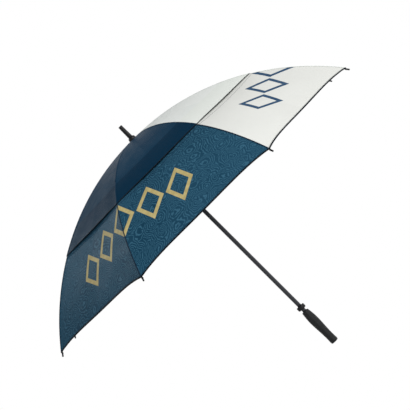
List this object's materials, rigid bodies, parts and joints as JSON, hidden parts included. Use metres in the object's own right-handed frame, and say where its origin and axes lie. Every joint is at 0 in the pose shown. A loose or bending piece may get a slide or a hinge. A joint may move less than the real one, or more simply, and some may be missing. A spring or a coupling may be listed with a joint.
{
  "type": "golf umbrella",
  "caption": "Golf umbrella with a vented double canopy, straight shaft and moulded grip, which folds on a sliding runner.",
  "frame": {"origin": "centre of the handle's end face, on the shaft's axis", "axes": "+Z along the shaft from the handle to the ferrule; the ribs are at 22.5 degrees to the X and Y axes"},
  "size_m": [1.2612, 1.2612, 1],
  "materials": {
    "fabric_navy": "woven canopy cloth, satin, tone on tone print on the lower canopy",
    "fabric_white": "woven canopy cloth, satin",
    "fabric_gold": "gold printed motif",
    "binding": "black hem binding tape",
    "fibreglass": "pultruded glass fibre rod, satin",
    "steel": "plated steel",
    "black_plastic": "moulded, fine texture",
    "shaft_grey": "dark grey coated tube, satin",
    "grip_rubber": "soft moulded foam rubber"
  },
  "bodies": {
    "shaft": {"shaft": "shaft_grey", "ferrule": "black_plastic", "crown_cap": "black_plastic", "top_notch": "black_plastic", "notch_wire": "steel", "catch_collar": "steel", "tip_cup": "black_plastic", "grip": "grip_rubber", "grip_end_cap": "black_plastic"},
    "runner": {"runner": "black_plastic"},
    "latch": {"latch_button": "black_plastic"},
    "rib_inner_1": {"rib_inner_1": "fibreglass", "canopy_upper_1": "fabric_navy"},
    "rib_outer_1": {"rib_outer_1": "fibreglass", "rib_tip_1": "black_plastic", "canopy_lower_1": "fabric_navy"},
    "stretcher_1": {"stretcher_1": "fibreglass"},
    "rib_inner_2": {"rib_inner_2": "fibreglass", "canopy_upper_2": "fabric_navy"},
    "rib_outer_2": {"rib_outer_2": "fibreglass", "rib_tip_2": "black_plastic", "canopy_lower_2": "fabric_navy"},
    "stretcher_2": {"stretcher_2": "fibreglass"},
    "rib_inner_3": {"rib_inner_3": "fibreglass", "canopy_upper_3": "fabric_white"},
    "rib_outer_3": {"rib_outer_3": "fibreglass", "rib_tip_3": "black_plastic", "canopy_lower_3": "fabric_white"},
    "stretcher_3": {"stretcher_3": "fibreglass"},
    "rib_inner_4": {"rib_inner_4": "fibreglass", "canopy_upper_4": "fabric_white"},
    "rib_outer_4": {"rib_outer_4": "fibreglass", "rib_tip_4": "black_plastic", "canopy_lower_4": "fabric_white"},
    "stretcher_4": {"stretcher_4": "fibreglass"},
    "rib_inner_5": {"rib_inner_5": "fibreglass", "canopy_upper_5": "fabric_navy"},
    "rib_outer_5": {"rib_outer_5": "fibreglass", "rib_tip_5": "black_plastic", "canopy_lower_5": "fabric_navy"},
    "stretcher_5": {"stretcher_5": "fibreglass"},
    "rib_inner_6": {"rib_inner_6": "fibreglass", "canopy_upper_6": "fabric_navy"},
    "rib_outer_6": {"rib_outer_6": "fibreglass", "rib_tip_6": "black_plastic", "canopy_lower_6": "fabric_navy", "closing_strap": "fabric_navy"},
    "stretcher_6": {"stretcher_6": "fibreglass"},
    "rib_inner_7": {"rib_inner_7": "fibreglass", "canopy_upper_7": "fabric_white"},
    "rib_outer_7": {"rib_outer_7": "fibreglass", "rib_tip_7": "black_plastic", "canopy_lower_7": "fabric_white"},
    "stretcher_7": {"stretcher_7": "fibreglass"},
    "rib_inner_8": {"rib_inner_8": "fibreglass", "canopy_upper_8": "fabric_white"},
    "rib_outer_8": {"rib_outer_8": "fibreglass", "rib_tip_8": "black_plastic", "canopy_lower_8": "fabric_white"},
    "stretcher_8": {"stretcher_8": "fibreglass"}
  },
  "joints": [
    {"name": "runner_slide", "type": "slide", "parent": "shaft", "child": "runner", "axis": [0, 0, -1], "range_m": [0, 0.445]},
    {"name": "latch_press", "type": "slide", "parent": "runner", "child": "latch", "axis": [0, 1, 0], "range_m": [0, 0.0025], "stiffness_N_per_m": 400, "springref_m": -0.002},
    {"name": "rib_1_fold", "type": "hinge", "parent": "shaft", "child": "rib_inner_1", "pos_m": [-0.01109, -0.00459, 0.93312], "axis": [0.3827, -0.9239, 0], "range_deg": [0, 74.47], "deforming": ["canopy_upper_1"]},
    {"name": "rib_1_flex", "type": "hinge", "parent": "rib_inner_1", "child": "rib_outer_1", "pos_m": [-0.311, -0.12882, 0.86562], "axis": [0.3827, -0.9239, 0], "range_deg": [-19.66, 0], "deforming": ["canopy_lower_1"]},
    {"name": "stretcher_1_fold", "type": "hinge", "parent": "rib_inner_1", "child": "stretcher_1", "pos_m": [-0.30886, -0.12793, 0.86009], "axis": [0.3827, -0.9239, 0], "range_deg": [-132.58, 0]},
    {"name": "rib_2_fold", "type": "hinge", "parent": "shaft", "child": "rib_inner_2", "pos_m": [-0.00459, -0.01109, 0.93312], "axis": [0.9239, -0.3827, 0], "range_deg": [0, 74.47], "deforming": ["canopy_upper_2"]},
    {"name": "rib_2_flex", "type": "hinge", "parent": "rib_inner_2", "child": "rib_outer_2", "pos_m": [-0.12882, -0.311, 0.86562], "axis": [0.9239, -0.3827, 0], "range_deg": [-19.66, 0], "deforming": ["canopy_lower_2"]},
    {"name": "stretcher_2_fold", "type": "hinge", "parent": "rib_inner_2", "child": "stretcher_2", "pos_m": [-0.12793, -0.30886, 0.86009], "axis": [0.9239, -0.3827, 0], "range_deg": [-132.58, 0]},
    {"name": "rib_3_fold", "type": "hinge", "parent": "shaft", "child": "rib_inner_3", "pos_m": [0.00459, -0.01109, 0.93312], "axis": [0.9239, 0.3827, 0], "range_deg": [0, 74.47], "deforming": ["canopy_upper_3"]},
    {"name": "rib_3_flex", "type": "hinge", "parent": "rib_inner_3", "child": "rib_outer_3", "pos_m": [0.12882, -0.311, 0.86562], "axis": [0.9239, 0.3827, 0], "range_deg": [-19.66, 0], "deforming": ["canopy_lower_3"]},
    {"name": "stretcher_3_fold", "type": "hinge", "parent": "rib_inner_3", "child": "stretcher_3", "pos_m": [0.12793, -0.30886, 0.86009], "axis": [0.9239, 0.3827, 0], "range_deg": [-132.58, 0]},
    {"name": "rib_4_fold", "type": "hinge", "parent": "shaft", "child": "rib_inner_4", "pos_m": [0.01109, -0.00459, 0.93312], "axis": [0.3827, 0.9239, 0], "range_deg": [0, 74.47], "deforming": ["canopy_upper_4"]},
    {"name": "rib_4_flex", "type": "hinge", "parent": "rib_inner_4", "child": "rib_outer_4", "pos_m": [0.311, -0.12882, 0.86562], "axis": [0.3827, 0.9239, 0], "range_deg": [-19.66, 0], "deforming": ["canopy_lower_4"]},
    {"name": "stretcher_4_fold", "type": "hinge", "parent": "rib_inner_4", "child": "stretcher_4", "pos_m": [0.30886, -0.12793, 0.86009], "axis": [0.3827, 0.9239, 0], "range_deg": [-132.58, 0]},
    {"name": "rib_5_fold", "type": "hinge", "parent": "shaft", "child": "rib_inner_5", "pos_m": [0.01109, 0.00459, 0.93312], "axis": [-0.3827, 0.9239, 0], "range_deg": [0, 74.47], "deforming": ["canopy_upper_5"]},
    {"name": "rib_5_flex", "type": "hinge", "parent": "rib_inner_5", "child": "rib_outer_5", "pos_m": [0.311, 0.12882, 0.86562], "axis": [-0.3827, 0.9239, 0], "range_deg": [-19.66, 0], "deforming": ["canopy_lower_5"]},
    {"name": "stretcher_5_fold", "type": "hinge", "parent": "rib_inner_5", "child": "stretcher_5", "pos_m": [0.30886, 0.12793, 0.86009], "axis": [-0.3827, 0.9239, 0], "range_deg": [-132.58, 0]},
    {"name": "rib_6_fold", "type": "hinge", "parent": "shaft", "child": "rib_inner_6", "pos_m": [0.00459, 0.01109, 0.93312], "axis": [-0.9239, 0.3827, 0], "range_deg": [0, 74.47], "deforming": ["canopy_upper_6"]},
    {"name": "rib_6_flex", "type": "hinge", "parent": "rib_inner_6", "child": "rib_outer_6", "pos_m": [0.12882, 0.311, 0.86562], "axis": [-0.9239, 0.3827, 0], "range_deg": [-19.66, 0], "deforming": ["canopy_lower_6", "closing_strap"]},
    {"name": "stretcher_6_fold", "type": "hinge", "parent": "rib_inner_6", "child": "stretcher_6", "pos_m": [0.12793, 0.30886, 0.86009], "axis": [-0.9239, 0.3827, 0], "range_deg": [-132.58, 0]},
    {"name": "rib_7_fold", "type": "hinge", "parent": "shaft", "child": "rib_inner_7", "pos_m": [-0.00459, 0.01109, 0.93312], "axis": [-0.9239, -0.3827, 0], "range_deg": [0, 74.47], "deforming": ["canopy_upper_7"]},
    {"name": "rib_7_flex", "type": "hinge", "parent": "rib_inner_7", "child": "rib_outer_7", "pos_m": [-0.12882, 0.311, 0.86562], "axis": [-0.9239, -0.3827, 0], "range_deg": [-19.66, 0], "deforming": ["canopy_lower_7"]},
    {"name": "stretcher_7_fold", "type": "hinge", "parent": "rib_inner_7", "child": "stretcher_7", "pos_m": [-0.12793, 0.30886, 0.86009], "axis": [-0.9239, -0.3827, 0], "range_deg": [-132.58, 0]},
    {"name": "rib_8_fold", "type": "hinge", "parent": "shaft", "child": "rib_inner_8", "pos_m": [-0.01109, 0.00459, 0.93312], "axis": [-0.3827, -0.9239, 0], "range_deg": [0, 74.47], "deforming": ["canopy_upper_8"]},
    {"name": "rib_8_flex", "type": "hinge", "parent": "rib_inner_8", "child": "rib_outer_8", "pos_m": [-0.311, 0.12882, 0.86562], "axis": [-0.3827, -0.9239, 0], "range_deg": [-19.66, 0], "deforming": ["canopy_lower_8"]},
    {"name": "stretcher_8_fold", "type": "hinge", "parent": "rib_inner_8", "child": "stretcher_8", "pos_m": [-0.30886, 0.12793, 0.86009], "axis": [-0.3827, -0.9239, 0], "range_deg": [-132.58, 0]}
  ],
  "couplings": [
    {"joint": "rib_1_fold", "follows": "runner_slide", "rad_per_m": 2.9203},
    {"joint": "rib_1_flex", "follows": "runner_slide", "rad_per_m": -0.77054},
    {"joint": "stretcher_1_fold", "follows": "runner_slide", "rad_per_m": -5.1993},
    {"joint": "rib_2_fold", "follows": "runner_slide", "rad_per_m": 2.9203},
    {"joint": "rib_2_flex", "follows": "runner_slide", "rad_per_m": -0.77054},
    {"joint": "stretcher_2_fold", "follows": "runner_slide", "rad_per_m": -5.1993},
    {"joint": "rib_3_fold", "follows": "runner_slide", "rad_per_m": 2.9203},
    {"joint": "rib_3_flex", "follows": "runner_slide", "rad_per_m": -0.77054},
    {"joint": "stretcher_3_fold", "follows": "runner_slide", "rad_per_m": -5.1993},
    {"joint": "rib_4_fold", "follows": "runner_slide", "rad_per_m": 2.9203},
    {"joint": "rib_4_flex", "follows": "runner_slide", "rad_per_m": -0.77054},
    {"joint": "stretcher_4_fold", "follows": "runner_slide", "rad_per_m": -5.1993},
    {"joint": "rib_5_fold", "follows": "runner_slide", "rad_per_m": 2.9203},
    {"joint": "rib_5_flex", "follows": "runner_slide", "rad_per_m": -0.77054},
    {"joint": "stretcher_5_fold", "follows": "runner_slide", "rad_per_m": -5.1993},
    {"joint": "rib_6_fold", "follows": "runner_slide", "rad_per_m": 2.9203},
    {"joint": "rib_6_flex", "follows": "runner_slide", "rad_per_m": -0.77054},
    {"joint": "stretcher_6_fold", "follows": "runner_slide", "rad_per_m": -5.1993},
    {"joint": "rib_7_fold", "follows": "runner_slide", "rad_per_m": 2.9203},
    {"joint": "rib_7_flex", "follows": "runner_slide", "rad_per_m": -0.77054},
    {"joint": "stretcher_7_fold", "follows": "runner_slide", "rad_per_m": -5.1993},
    {"joint": "rib_8_fold", "follows": "runner_slide", "rad_per_m": 2.9203},
    {"joint": "rib_8_flex", "follows": "runner_slide", "rad_per_m": -0.77054},
    {"joint": "stretcher_8_fold", "follows": "runner_slide", "rad_per_m": -5.1993}
  ]
}
